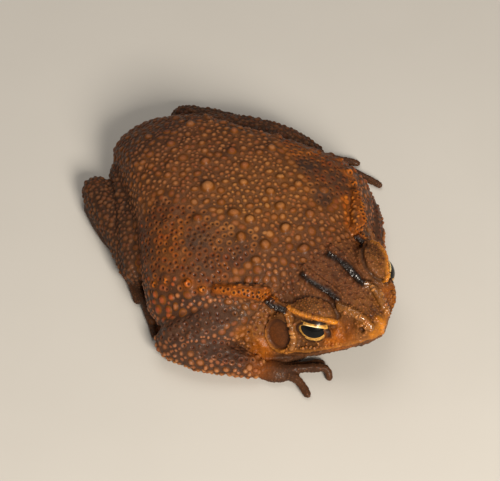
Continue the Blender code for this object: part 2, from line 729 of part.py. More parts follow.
def make_jaw(jaw, limb_space, parts, cutters):
    combine(jaw, [lip("lower_lip", -LIP_OFFSET, cutters)], "UNION")
    behind = block("behind", (NECK + GAP - 30.0, 0, 0), (60.0, 80, 80), cutters)
    clear_of(jaw, limb_space, [behind, mouth_block("above", True, cutters)], cutters)
    finish_node(jaw, "lower_jaw", HEAD_RUST, 0.45, parts)


def main():
    for existing in list(bpy.data.objects):
        bpy.data.objects.remove(existing)
    parts = make_collection("long_glanded_toad")
    cutters = make_collection("cutters")
    limb_space = []
    for side in SIDES:
        limb_space += make_limbs(side, parts, cutters)
    body = whole_body(cutters)
    make_head(copy_of(body, "head_form", cutters), limb_space, parts, cutters)
    make_jaw(copy_of(body, "jaw_form", cutters), limb_space, parts, cutters)
    make_torso(body, limb_space, parts, cutters)
    remove(*limb_space)


main()
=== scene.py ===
"""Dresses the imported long-glanded toad: one warty skin over all its flesh, and two wet eyes.

The skin is worked in millimetres. Places on the toad are given as forward, right and up; forward
is -Y, right is -X and up is +Z.
"""

import math

import bmesh
import bpy
import numpy as np
from mathutils import Matrix, Vector
from mathutils.kdtree import KDTree

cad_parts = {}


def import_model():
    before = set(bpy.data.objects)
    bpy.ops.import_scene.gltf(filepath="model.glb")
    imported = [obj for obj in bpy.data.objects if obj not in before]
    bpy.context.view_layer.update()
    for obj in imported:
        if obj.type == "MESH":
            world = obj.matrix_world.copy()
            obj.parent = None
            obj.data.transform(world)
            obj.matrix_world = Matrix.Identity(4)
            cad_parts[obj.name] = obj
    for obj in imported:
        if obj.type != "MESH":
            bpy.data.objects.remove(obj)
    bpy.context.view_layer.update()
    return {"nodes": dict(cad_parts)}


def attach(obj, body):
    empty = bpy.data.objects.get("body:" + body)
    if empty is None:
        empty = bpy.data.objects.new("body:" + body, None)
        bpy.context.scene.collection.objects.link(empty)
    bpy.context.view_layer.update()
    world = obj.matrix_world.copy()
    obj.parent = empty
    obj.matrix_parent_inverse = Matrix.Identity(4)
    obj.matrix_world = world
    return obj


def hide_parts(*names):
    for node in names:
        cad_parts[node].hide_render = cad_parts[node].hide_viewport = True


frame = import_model()

MM = 0.001
SIDES = {"right": 1, "left": -1}
FLESH = sorted(name for name in frame["nodes"] if not name.startswith("eye"))

# How the nodes become one skin.
SWELL = 0.22
FACE_SIZE = 0.14
BODY_SMOOTHING = 26
HEAD_SMOOTHING = 8
HEAD_STARTS = 15.5

# Eye: the ball, the way it looks, and the opening between the lids in its own plane. The head is
# held a little askew, so the left eye and its lids are moved from the mirrored place.
EYE_CENTRE = (22.9, 5.75, 8.5)
EYE_SHIFTS = {"right": (0.0, 0.0, 0.0), "left": (-0.3, 0.3, 0.8)}
EYE_RADIUS = 2.9
EYE_TURN = math.radians(35.0)
EYE_RISE = math.radians(14.0)
LID_MIDDLE = 0.26
LID_BACK = 2.2
LID_FRONT = 2.45
LID_TOP = {"right": 1.34, "left": 0.8}
LID_BOTTOM = 1.32
LID_THICKNESS = 0.3
LID_TOP_MIDDLE = (22.2, 6.0, 11.8)
OPENING_DEPTH = 0.45
PUPIL_MIDDLE = 0.46
PUPIL_HALF_WIDTH = 1.78
PUPIL_BELOW = 1.08
PUPIL_ABOVE = 0.74
CORNEA_RADIUS = 2.3
CORNEA_RISE = 0.12

# Ear drum, mouth and nostril.
EAR_CENTRE = (19.85, 9.65, 6.35)
EAR_RADII = (2.1, 2.6)
EAR_TILT = math.radians(16.0)
EAR_LEAN = math.radians(10.0)
MOUTH_FRONT = (29.7, 7.6)
MOUTH_SLOPE = math.radians(25.0)
JAW_CORNER = 20.3
NOSTRIL = (29.1, 2.7, 10.1)
LOREAL = (27.2, 3.9, 9.8)
# The far side of the snout, sunk a little and darkened with painted shade: its centre and radius.
FAR_CHEEK = (28.8, -3.4, 8.8)
FAR_CHEEK_RADIUS = 4.0
LIP_LINE = ((21.6, 10.3), (23.5, 8.9), (25.5, 7.2), (27.5, 5.2))

# Smooth places in front of the arm, with their radii, and the wrists.
CHEST = (((18.4, 11.8, 3.3), 3.0), ((15.6, 13.2, 5.2), 2.2))
WRISTS = ((19.4, 13.6, 1.8), (16.8, -12.0, 1.8))
WRIST_RADIUS = 3.6

# The head is turned a little: its marks leave the body's midline by this share of how far they lie
# behind the snout.
HEAD_LEAN = 0.06
SNOUT = 30.0

# Ridges and grooves of the head: points along each, and its half width and height.
PARIETAL = {
    "right": (
        (17.8, 2.9, 12.7), (19.4, 3.0, 12.7), (21.0, 2.75, 12.6), (22.5, 2.35, 12.4), (24.0, 2.3, 12.1),
    ),
    "left": (
        (17.8, 2.2, 12.7), (19.5, 2.6, 12.7), (21.1, 2.7, 12.6), (22.7, 2.5, 12.4), (24.6, 2.1, 12.1),
    ),
}
PARIETAL_SIZE = (0.54, 0.55)
OVER_EAR = ((16.9, 8.9, 10.7), (18.4, 8.8, 10.8), (19.7, 8.3, 10.7))
OVER_EAR_SIZE = (0.44, 0.4)
CANTHAL = ((24.9, 2.8, 11.7), (26.2, 2.6, 11.9), (27.5, 2.3, 11.8), (28.7, 1.9, 11.4), (29.7, 1.6, 10.5))
BEHIND_EYE = ((20.1, 8.3, 10.3), (20.8, 8.7, 9.6), (21.8, 9.2, 8.7), (22.3, 9.5, 7.2), (22.4, 9.5, 5.6))
PALE_RIDGES = ((CANTHAL, 0.6, 0.45), (BEHIND_EYE, 0.45, 0.42))
LID_RIM = ((19.9, 8.0, 10.9), (21.2, 8.1, 11.3), (22.9, 7.5, 11.5), (24.6, 6.3, 11.3), (25.9, 4.7, 10.6))
LID_RIM_SIZE = (0.32, 0.4)
LID_GROOVE = ((20.4, 8.6, 10.0), (21.8, 8.5, 10.4), (23.5, 7.7, 10.6), (25.0, 6.6, 10.4), (26.2, 5.1, 9.8))
LID_GROOVE_SIZE = (0.42, -0.36)
LID_FOLD = (
    (19.4, 7.6, 10.6), (19.3, 6.8, 11.2), (20.3, 5.5, 11.9), (21.4, 4.5, 12.0), (22.8, 3.8, 12.0),
    (24.1, 3.6, 11.7), (25.3, 3.9, 11.2), (26.2, 4.6, 10.4),
)
LID_FOLD_SIZE = (0.34, -0.3)
KEEL = ((29.7, 0.3, 11.0), (30.3, 0.0, 10.2), (30.5, 0.0, 9.2), (30.5, 0.0, 8.4))
KEEL_SIZE = (0.5, 0.22)

# The gland behind the ear with its widths, then the warts that carry it on and those of the flank,
# with their diameters. PIT_RADIUS is for the pits in them and in the skin behind the arm.
PIT_RADIUS = 0.27
GLAND = ((17.0, 8.9, 11.3), (15.3, 10.6, 12.0), (13.6, 12.0, 12.1), (12.0, 12.9, 12.0), (10.4, 13.9, 11.6))
GLAND_WIDTHS = (2.0, 1.6, 0.9, 0.6, 0.5)
GLAND_ROW = ((8.9, 15.1, 10.9, 1.4), (6.8, 16.1, 11.1, 1.8), (3.7, 17.6, 10.0, 1.3), (2.0, 18.3, 8.3, 1.4))
FLANK_WARTS = (
    (5.0, 17.1, 10.0, 0.9), (4.7, 16.6, 10.5, 0.9), (3.2, 19.0, 7.6, 1.4), (4.7, 19.0, 7.7, 1.7),
    (5.7, 18.2, 8.7, 1.3), (4.6, 19.7, 6.0, 1.8), (6.2, 19.2, 7.0, 1.5), (6.7, 19.4, 6.3, 1.4),
    (6.3, 19.9, 5.2, 1.7), (3.5, 19.6, 6.6, 1.2), (7.7, 19.4, 6.2, 1.2), (0.4, 18.1, 7.9, 1.1),
    (-0.9, 17.3, 8.0, 1.0), (-2.6, 16.3, 8.5, 0.9), (-4.6, 14.8, 9.0, 0.9), (-6.6, 13.2, 9.8, 0.9),
)

# The largest warts of the back: forward, right and diameter.
BACK_WARTS = (
    (-2.6, 3.9, 2.5), (3.9, 4.1, 2.1), (6.3, 3.3, 1.8), (7.5, 6.3, 1.8), (10.7, 4.5, 2.1), (10.7, 0.3, 2.0),
    (14.6, 0.6, 2.0), (11.3, 6.8, 1.7), (-2.0, -3.0, 1.9), (-5.6, -3.6, 1.6), (-13.6, 1.6, 1.5),
    (-15.1, -3.5, 1.5), (-10.0, 2.6, 1.6), (3.0, -5.6, 1.7), (0.4, -0.6, 1.6), (5.6, -6.8, 1.6),
    (4.2, -2.4, 1.6), (7.1, -1.7, 1.9), (10.7, -4.3, 1.8), (-6.6, 0.8, 1.7), (-9.0, -7.2, 1.6),
    (-2.4, -8.8, 1.7), (-12.4, -8.0, 1.4), (-18.4, 2.2, 1.4), (-19.0, -4.0, 1.4), (8.4, -9.4, 1.6),
    (0.6, 8.6, 1.6), (13.4, -2.6, 1.6), (14.6, 4.4, 1.4),
)

# Colours, as linear red, green and blue.
BROWN = (0.112, 0.041, 0.013)
TAN = (0.300, 0.116, 0.038)
UMBER = (0.044, 0.020, 0.010)
SLATE = (0.050, 0.025, 0.015)
RUST = (0.230, 0.058, 0.005)
ORANGE = (0.560, 0.165, 0.012)
RED = (0.340, 0.072, 0.016)
PINK = (0.340, 0.130, 0.054)
PALE = (0.600, 0.290, 0.080)
OCHRE = (0.280, 0.100, 0.014)
AMBER = (0.150, 0.044, 0.004)
BLACK = (0.006, 0.004, 0.003)
PITTED_GROUND = (0.105, 0.040, 0.015)
PITTED_TOPS = (0.195, 0.054, 0.008)
UPPER_ARM_TOPS = (0.110, 0.040, 0.016)
# Painted shade on the far side of the snout, between the beads and on them.
FAR_CHEEK_SHADE_GROUND = (0.085, 0.030, 0.009)
FAR_CHEEK_SHADE_TOPS = (0.180, 0.064, 0.014)
RIDGE_TOPS = (0.46, 0.19, 0.040)
CREST_TOPS = (0.016, 0.010, 0.007)
LIP_COLOUR = (0.30, 0.105, 0.014)
DRUM_COLOUR = (0.100, 0.031, 0.008)
DRUM_EDGE_COLOUR = (0.045, 0.016, 0.006)
LID_RIM_COLOUR = (0.54, 0.180, 0.010)
LID_EDGE_COLOUR = (0.026, 0.011, 0.006)
SPOT_COLOUR = (0.045, 0.011, 0.005)
# Painted shade in the seams at the foot of the beads.
SEAM_SHADE_COLOUR = (0.022, 0.009, 0.004)
PIT_COLOUR = (0.026, 0.009, 0.004)
GRIME = (0.04, 0.015, 0.008)
PUPIL_COLOUR = (0.003, 0.003, 0.003)
GOLD = (0.620, 0.330, 0.070)
DULL_GOLD = (0.50, 0.26, 0.055)
CREAM = (0.950, 0.780, 0.400)
IRIS_SPECKLES = (0.20, 0.085, 0.02)
IRIS_EDGE = (0.02, 0.01, 0.006)

# Patches of colour: forward, right, up, radius, colour of the ground, colour of the beads, share.
PATCHES = (
    (4.0, 2.5, 14.8, 10.0, (0.125, 0.046, 0.012), (0.370, 0.150, 0.038), 0.8),
    # The rear of the back is darker here: painted shade.
    (-19.0, 2.0, 10.0, 10.0, (0.075, 0.030, 0.014), (0.190, 0.076, 0.034), 0.8),
    (0.6, 13.0, 12.4, 5.0, (0.150, 0.050, 0.010), (0.380, 0.110, 0.012), 0.7),
    (3.1, 10.9, 13.3, 3.0, (0.052, 0.029, 0.019), (0.120, 0.050, 0.018), 0.9),
    (9.4, 8.2, 13.2, 2.2, (0.045, 0.024, 0.015), (0.150, 0.060, 0.022), 0.8),
    (7.2, 13.2, 12.2, 2.6, (0.058, 0.030, 0.018), (0.160, 0.062, 0.022), 0.7),
    (5.0, 17.6, 8.6, 2.8, (0.085, 0.036, 0.016), (0.420, 0.150, 0.050), 0.8),
    (20.0, 0.0, 12.4, 7.5, (0.112, 0.040, 0.014), (0.220, 0.078, 0.026), 1.0),
    (17.6, 6.4, 11.6, 3.6, (0.105, 0.038, 0.013), (0.200, 0.070, 0.022), 0.9),
    (22.3, 6.2, 11.5, 3.0, (0.130, 0.048, 0.009), (0.270, 0.094, 0.018), 0.9),
    (26.8, 5.2, 8.2, 3.6, (0.260, 0.068, 0.004), (0.400, 0.135, 0.014), 1.0),
    (27.4, 3.9, 9.9, 1.8, (0.160, 0.046, 0.007), (0.290, 0.095, 0.018), 0.8),
    (29.0, 1.6, 10.8, 2.4, (0.190, 0.062, 0.006), (0.380, 0.150, 0.028), 0.9),
    (28.8, 0.0, 11.3, 1.8, (0.100, 0.036, 0.010), (0.240, 0.085, 0.016), 0.9),
    (30.2, 0.9, 9.2, 1.9, (0.400, 0.130, 0.006), (0.560, 0.230, 0.030), 0.9),
    (23.8, 8.4, 6.0, 2.6, (0.110, 0.042, 0.012), (0.280, 0.110, 0.026), 0.9),
    (18.2, 11.9, 3.3, 2.6, (0.270, 0.072, 0.005), (0.350, 0.118, 0.014), 1.0),
    (15.4, 13.2, 5.4, 2.2, (0.230, 0.070, 0.007), (0.330, 0.130, 0.034), 0.9),
    (20.0, 9.8, 6.4, 3.7, (0.075, 0.028, 0.009), (0.200, 0.075, 0.020), 0.9),
    (14.6, 12.0, 8.2, 2.6, (0.085, 0.036, 0.013), (0.240, 0.108, 0.040), 0.8),
)
ORANGE_STREAK = ((10.8, -11.4, 11.5), (13.0, -10.3, 10.9), (15.6, -8.8, 11.2), (17.5, -8.2, 9.8))

# The part of the body that each kind of node belongs to, by the start of the node's name.
BODY_PARTS = {
    "eye": "head", "head": "head", "lower_jaw": "jaw", "torso": "torso", "tympanum": "head",
    "upper_arm": "arm", "forearm": "arm", "hand": "hand", "thigh": "leg", "shank": "leg", "foot": "foot",
}

# Lamps: place in metres, size, watts and colour. Then the camera, in metres and degrees.
LAMPS = {
    "key": ((-0.12, -0.29, 0.21), 0.12, 2.00, (1.0, 0.92, 0.80)),
    "sky": ((0.05, 0.10, 0.38), 0.30, 0.50, (1.0, 0.94, 0.86)),
}
CAMERA_AIM = (0.0022, 0, 0)
CAMERA_AZIMUTH = -42.0
CAMERA_ELEVATION = 50.0
CAMERA_DISTANCE = 0.320


def world(forward, right, up):
    """The point in millimetres in the model's own axes."""
    return Vector((-right, -forward, up))


def smooth_curve(points, steps):
    """Points along the Catmull-Rom curve through the given ones, with steps in each stretch."""
    rows = np.array(points, float)
    padded = np.vstack([2 * rows[0] - rows[1], rows, 2 * rows[-1] - rows[-2]])
    curve = []
    for start in range(len(rows) - 1):
        a, b, c, d = padded[start : start + 4]
        for t in np.arange(steps) / steps:
            bend = 2 * a - 5 * b + 4 * c - d
            curve.append(0.5 * (2 * b + (c - a) * t + bend * t**2 + (3 * b - a - 3 * c + d) * t**3))
    return np.array(curve + [rows[-1]])


def evenly(points, spacing):
    """Points along the smooth curve at an even spacing."""
    curve = smooth_curve(points, 40)
    length = np.concatenate([[0], np.cumsum(np.linalg.norm(np.diff(curve[:, :3], axis=0), axis=1))])
    at = np.arange(0, length[-1], spacing)
    return np.stack([np.interp(at, length, column) for column in curve.T], axis=1)


def step_between(low, high, value):
    """0 below low and 1 above high, with a soft step between them."""
    t = np.clip((value - low) / (high - low), 0.0, 1.0)
    return t * t * (3 - 2 * t)


def hill(value, width):
    """1 at zero, falling off to both sides."""
    return np.exp(-((value / width) ** 2))


def mirrored(point, side):
    """A place of the right side, moved to the named side."""
    return (point[0], point[1] * SIDES[side], *point[2:])


def by_the_eye(point, side):
    """A place near the right eye, as it lies by the named side's eye."""
    return mirrored(tuple(value + shift for value, shift in zip(point, EYE_SHIFTS[side])), side)


def turned_head(point, side):
    """A place on the head of the named side, moved as the head is turned."""
    forward, right, up = point
    return (forward, right * SIDES[side] + HEAD_LEAN * (SNOUT - forward), up)


def crests(side):
    """The black crests of one side: path, half width and height."""
    return (
        ([turned_head(p, side) for p in PARIETAL[side]], *PARIETAL_SIZE),
        ([turned_head(p, side) for p in OVER_EAR], *OVER_EAR_SIZE),
    )


def looking(centre, turn, rise, side):
    """A centre and three axes: the last looks sideways from the head, turned forward and raised."""
    level = math.cos(rise)
    outward = np.array((-math.cos(turn) * level * SIDES[side], -math.sin(turn) * level, math.sin(rise)))
    along = np.cross((0, 0, 1), outward)
    along /= np.linalg.norm(along)
    return np.array(world(*centre)), np.array((along, np.cross(outward, along), outward))


def holder_of(name, data):
    """A new object in the scene that holds a mesh, a lamp or a camera."""
    made = bpy.data.objects.new(name, data)
    bpy.context.scene.collection.objects.link(made)
    return made


def whole_form():
    """All nodes as one mesh in millimetres, swollen until neighbours run together."""
    form = bmesh.new()
    for name in sorted(frame["nodes"]):
        form.from_mesh(frame["nodes"][name].data)
    bmesh.ops.scale(form, vec=(1 / MM,) * 3, verts=form.verts)
    bmesh.ops.remove_doubles(form, verts=form.verts, dist=0.002)
    form.normal_update()
    for vertex in form.verts:
        vertex.co += vertex.normal * SWELL
    mesh = bpy.data.meshes.new("skin")
    form.to_mesh(mesh)
    form.free()
    return mesh


def even_mesh(mesh, size):
    """The outer surface of the mesh, remade in even faces."""
    holder = holder_of("even", mesh)
    remesh = holder.modifiers.new("even", "REMESH")
    remesh.mode = "VOXEL"
    remesh.voxel_size = size
    made = bpy.data.meshes.new_from_object(holder.evaluated_get(bpy.context.evaluated_depsgraph_get()))
    bpy.data.objects.remove(holder)
    return made


def finer_head(mesh):
    """Splits the faces of the head once more, so that its small forms show."""
    form = bmesh.new()
    form.from_mesh(mesh)
    near = [edge for edge in form.edges if all(-v.co.y > HEAD_STARTS and v.co.z > 2.5 for v in edge.verts)]
    bmesh.ops.subdivide_edges(form, edges=near, cuts=1, use_grid_fill=True)
    bmesh.ops.triangulate(form, faces=[face for face in form.faces if len(face.verts) > 4])
    form.to_mesh(mesh)
    form.free()
    return mesh


class Skin:
    """The skin's mesh, with the height and the colours that are laid on it."""

    def __init__(self, mesh):
        self.mesh = mesh
        self.count = len(mesh.vertices)
        self.points = self.read(mesh.vertices, "co", 3)
        self.edges = self.read(mesh.edges, "vertices", 2, np.int32)
        both = np.concatenate([self.edges[:, 0], self.edges[:, 1]])
        self.neighbours = np.bincount(both, minlength=self.count)
        self.raised = np.zeros(self.count)

    def read(self, items, name, width, kind=np.float32):
        """One value of all the items, as rows of the given width."""
        values = np.empty(len(items) * width, kind)
        items.foreach_get(name, values)
        return values.reshape(-1, width).astype(float if kind is np.float32 else int)

    def average(self, values):
        """Each point's mean of its neighbours' values."""
        a, b = self.edges.T
        total = np.bincount(a, values[b], self.count) + np.bincount(b, values[a], self.count)
        return total / self.neighbours

    def spread(self, values, steps):
        """The values, softened over their neighbours."""
        for _ in range(steps):
            values = 0.5 * values + 0.5 * self.average(values)
        return values

    def settle(self, amount, steps):
        """Smooths the form by an amount given for each point."""
        for _ in range(steps):
            mean = np.stack([self.average(self.points[:, axis]) for axis in range(3)], axis=1)
            self.points += (mean - self.points) * amount[:, None]

    def measure(self):
        """Reads the outward directions and sorts the points for finding them by place."""
        self.mesh.vertices.foreach_set("co", self.points.astype(np.float32).ravel())
        self.mesh.update()
        self.outward = self.read(self.mesh.vertex_normals, "vector", 3)
        self.forward = -self.points[:, 1]
        self.right = -self.points[:, 0]
        self.up = self.points[:, 2]
        self.tree = KDTree(self.count)
        for index, point in enumerate(self.points):
            self.tree.insert(point, index)
        self.tree.balance()

    def near(self, point, radius, facing=None):
        """The points within a radius, of those that face a given way if any, and how far off they are."""
        found = self.tree.find_range(point, radius)
        index = np.array([row[1] for row in found], int)
        distance = np.array([row[2] for row in found])
        if facing is not None and len(index):
            kept = self.outward[index] @ facing > 0.25
            index, distance = index[kept], distance[kept]
        return index, distance

    def along(self, path, radius):
        """How near each point is to a path laid on the skin, from 1 on it to 0 at the radius."""
        nearness = np.zeros(self.count)
        for place in evenly(path, 0.12):
            index, distance = self.near(self.points[self.nearest(place[:3])], radius)
            nearness[index] = np.maximum(nearness[index], 1 - distance / radius)
        return nearness

    def around(self, place, radius):
        """How near each point is to a place, from 1 at it to 0 at the radius, softly."""
        distance = np.linalg.norm(self.points - np.array(world(*place)), axis=1)
        return step_between(radius, 0.3 * radius, distance)

    def nearest(self, place):
        """The number of the skin's point that is nearest to a place."""
        return self.tree.find(world(*place))[1]

    def on_top(self, forward, right):
        """The highest point of the skin at a place seen from above."""
        off = np.hypot(self.forward - forward, self.right - right)
        close = np.flatnonzero(off < 0.4)
        return close[np.argmax(self.up[close])]


def mark_zones(skin):
    """How much each point belongs to each part of the body, from 0 to 1."""
    draw = np.random.default_rng(3)
    kinds = sorted(set(BODY_PARTS.values()))
    places, owners = [], []
    for name in sorted(frame["nodes"]):
        mesh = frame["nodes"][name].data
        mesh.calc_loop_triangles()
        points = skin.read(mesh.vertices, "co", 3) / MM
        corners = points[skin.read(mesh.loop_triangles, "vertices", 3, np.int32)]
        across = np.cross(corners[:, 1] - corners[:, 0], corners[:, 2] - corners[:, 0])
        area = np.linalg.norm(across, axis=1) / 2
        chosen = draw.choice(len(area), int(area.sum() * 5), p=area / area.sum())
        share = draw.dirichlet((1, 1, 1), len(chosen))
        places.append((corners[chosen] * share[:, :, None]).sum(axis=1))
        kind = next(BODY_PARTS[start] for start in BODY_PARTS if name.startswith(start))
        owners += [kinds.index(kind)] * len(chosen)
    tree = KDTree(len(owners))
    for index, place in enumerate(np.concatenate(places)):
        tree.insert(place, index)
    tree.balance()
    owner = np.array([owners[tree.find(point)[1]] for point in skin.points])
    skin.zones = {kind: skin.spread((owner == i).astype(float), 6) for i, kind in enumerate(kinds)}


def shape_lids(skin):
    """Both lids hug the eyeball round their opening, and the skin inside it sinks behind the eye."""
    skin.lid_edge = np.zeros(skin.count)
    skin.opening = np.zeros(skin.count)
    for side in SIDES:
        centre, axes = looking(by_the_eye(EYE_CENTRE, side), EYE_TURN, EYE_RISE, side)
        local = (skin.points - centre) @ axes.T
        distance = np.linalg.norm(local, axis=1)
        above = local[:, 1] - LID_MIDDLE
        across = local[:, 0] / np.where(local[:, 0] * SIDES[side] > 0, LID_FRONT, LID_BACK)
        reach = np.hypot(across, above / np.where(above > 0, LID_TOP[side], LID_BOTTOM))
        front = step_between(0.0, 0.5, local[:, 2]) * (distance < EYE_RADIUS + 2.0)
        lifted = (OPENING_DEPTH + LID_THICKNESS) * step_between(0.93, 1.06, reach)
        wanted = EYE_RADIUS - OPENING_DEPTH + lifted
        share = front * step_between(1.55, 1.15, reach)
        skin.points += local / distance[:, None] * ((wanted - distance) * share)[:, None]
        skin.lid_edge = np.maximum(skin.lid_edge, front * hill(reach - 1.04, 0.16))
        skin.opening = np.maximum(skin.opening, front * (reach < 1.2))


def shape_ears(skin):
    """Each ear drum is a smooth oval a little below the skin, with a thin rim."""
    skin.drum = np.zeros(skin.count)
    skin.drum_rim = np.zeros(skin.count)
    skin.drum_edge = np.zeros(skin.count)
    for side, sign in SIDES.items():
        centre, axes = looking(mirrored(EAR_CENTRE, side), 0.0, EAR_TILT, side)
        local = (skin.points - centre) @ axes.T
        across = local[:, 0] * sign
        wide = across * math.cos(EAR_LEAN) + local[:, 1] * math.sin(EAR_LEAN)
        tall = local[:, 1] * math.cos(EAR_LEAN) - across * math.sin(EAR_LEAN)
        reach = np.hypot(wide / EAR_RADII[0], tall / EAR_RADII[1])
        close = (np.abs(local[:, 2]) < 2.2) & (skin.outward @ axes[2] > 0.0)
        ring = close & (reach > 1.0) & (reach < 1.35)
        columns = np.stack([np.ones(ring.sum()), local[ring, 0], local[ring, 1]], axis=1)
        level, slant, rise = np.linalg.lstsq(columns, local[ring, 2], rcond=None)[0]
        plane = level + slant * local[:, 0] + rise * local[:, 1]
        dip = 0.3 * step_between(1.0, 0.85, reach) - 0.16 * step_between(0.9, 0.0, reach)
        rim = close * hill(reach - 1.0, 0.055)
        share = close * step_between(1.4, 1.05, reach)
        skin.points += axes[2] * ((plane - dip + 0.16 * rim - local[:, 2]) * share)[:, None]
        skin.drum = np.maximum(skin.drum, close * step_between(1.02, 0.95, reach))
        skin.drum_edge = np.maximum(skin.drum_edge, close * hill(reach - 0.84, 0.11))
        skin.drum_rim = np.maximum(skin.drum_rim, rim * step_between(0.8, -0.8, local[:, 1]))


def raise_ridge(skin, path, width, height, field):
    """A ridge along a path, or a groove where the height is below 0, marked in the field."""
    profile = step_between(0.0, 0.9, skin.along(path, width * 1.5))
    skin.raised += height * profile
    np.maximum(field, profile, out=field)


def raise_ridges(skin):
    """The black crests, the pale ridges, the rims and grooves of the lids, and the snout's keel."""
    skin.crest = np.zeros(skin.count)
    skin.rim = np.zeros(skin.count)
    skin.lid_rim = np.zeros(skin.count)
    skin.groove = np.zeros(skin.count)
    for side in SIDES:
        for path, width, height in crests(side):
            raise_ridge(skin, path, width, height, skin.crest)
        for path, width, height in PALE_RIDGES:
            raise_ridge(skin, [turned_head(p, side) for p in path], width, height, skin.rim)
        raise_ridge(skin, [by_the_eye(p, side) for p in LID_RIM], *LID_RIM_SIZE, skin.lid_rim)
        raise_ridge(skin, [by_the_eye(p, side) for p in LID_GROOVE], *LID_GROOVE_SIZE, skin.groove)
        raise_ridge(skin, [by_the_eye(p, side) for p in LID_FOLD], *LID_FOLD_SIZE, skin.groove)
        nostril = turned_head(NOSTRIL, side)
        swelling, hole = skin.around(nostril, 1.3), skin.around(nostril, 0.62)
        skin.raised += 0.22 * swelling - 0.62 * hole
        # The nostril's hole is marked with the grooves, to take their painted shade.
        np.maximum(skin.groove, 1.4 * hole, out=skin.groove)
        hollow = skin.around(turned_head(LOREAL, side), 2.2)
        skin.raised -= 0.35 * hollow * (1 - np.clip(skin.rim, 0, 1))
    raise_ridge(skin, KEEL, *KEEL_SIZE, skin.lid_rim)
    skin.raised -= 0.5 * skin.around(FAR_CHEEK, FAR_CHEEK_RADIUS)


def mouth_level(forward):
    """How high the line between the lips lies."""
    return MOUTH_FRONT[1] - (MOUTH_FRONT[0] - forward) * math.tan(MOUTH_SLOPE)


def cut_mouth(skin):
    """The line between the lips, and the lips on both sides of it."""
    over = (skin.up - mouth_level(skin.forward)) * math.cos(MOUTH_SLOPE)
    jaws = skin.zones["head"] + skin.zones["jaw"] > 0.4
    mouth = step_between(JAW_CORNER - 0.8, JAW_CORNER + 0.6, skin.forward) * jaws
    skin.mouth_line = hill(over, 0.16) * mouth
    skin.over_mouth = over
    skin.lip = hill(over - 0.5, 0.3) * mouth
    skin.raised += 0.12 * skin.lip + 0.08 * hill(over + 0.55, 0.3) * mouth - 0.34 * skin.mouth_line


class Beads:
    """Warts and granules: round domes set on the skin, the larger ones first."""

    def __init__(self, skin, seed):
        self.skin = skin
        self.draw = np.random.default_rng(seed)
        self.dome = np.zeros(skin.count)
        self.pit = np.zeros(skin.count)
        self.large = np.zeros(skin.count)
        self.tint = np.full(skin.count, 0.5)
        self.height = np.zeros(skin.count)
        self.centres = []

    def add(self, index, diameter, height, pit=0.0):
        """One dome, a little longer than wide. The pit in its top is given in parts of PIT_RADIUS."""
        skin = self.skin
        radius = diameter / 2
        around, distance = skin.near(skin.points[index], radius * 1.02, skin.outward[index])
        if not len(around):
            return
        narrow = np.cross(skin.outward[index], self.draw.normal(size=3))
        narrow /= np.linalg.norm(narrow)
        beside = (skin.points[around] - skin.points[index]) @ narrow
        distance = np.sqrt(distance**2 + self.draw.uniform(0.0, 0.9) * beside**2)
        t = np.minimum(distance / radius, 1.0)
        dome = (1 - t**2) ** (0.9 if diameter < 0.7 else 1.3)
        higher = dome > self.dome[around]
        around, dome = around[higher], dome[higher]
        self.dome[around] = dome
        self.large[around] = step_between(0.8, 1.5, diameter) * (pit == 0)
        self.tint[around] = self.draw.uniform()
        self.height[around] = height * dome
        self.centres.append((index, radius))
        if pit:
            self.pierce(index, PIT_RADIUS * pit)

    def pierce(self, index, radius):
        """A small dark pit in whatever is there."""
        around, distance = self.skin.near(self.skin.points[index], 3 * radius)
        hole = hill(distance, radius)
        deeper = hole > self.pit[around]
        around, hole = around[deeper], hole[deeper]
        self.height[around] -= 0.28 * (hole - self.pit[around])
        self.pit[around] = hole

    def fill(self, diameter, spacing, height, share, pits=None):
        """Beads of one size wherever they fit, on the given share of the skin."""
        skin = self.skin
        taken = np.zeros(skin.count, bool)
        for index, radius in self.centres:
            taken[skin.near(skin.points[index], radius + diameter * 0.4)[0]] = True
        chance = self.draw.uniform(size=skin.count)
        order = np.flatnonzero((chance < share) & ~taken)
        self.draw.shuffle(order)
        for index in order:
            if taken[index]:
                continue
            own = diameter * self.draw.uniform(0.75, 1.25)
            taken[skin.near(skin.points[index], own * spacing)[0]] = True
            self.add(index, own, height * own, 0.0 if pits is None else pits[index])

    def string(self, path, spacing, diameter, height, scatter):
        """Beads in a row along a path, each as high as the given share of its diameter."""
        for place in evenly(path, spacing):
            own = diameter * self.draw.uniform(0.7, 1.25)
            beside = place[:3] + self.draw.normal(0.0, scatter + 1e-6, 3)
            self.add(self.skin.nearest(beside), own, height * own)


def dark_spots(skin, draw, share):
    """Small sunken spots, scattered well apart."""
    spots = np.zeros(skin.count)
    taken = np.zeros(skin.count, bool)
    order = np.flatnonzero(share > 0.5)
    draw.shuffle(order)
    for index in order:
        if not taken[index]:
            taken[skin.near(skin.points[index], draw.uniform(0.7, 1.1))[0]] = True
            around, distance = skin.near(skin.points[index], 0.4)
            spots[around] = np.maximum(spots[around], hill(distance, draw.uniform(0.14, 0.26)))
    return spots


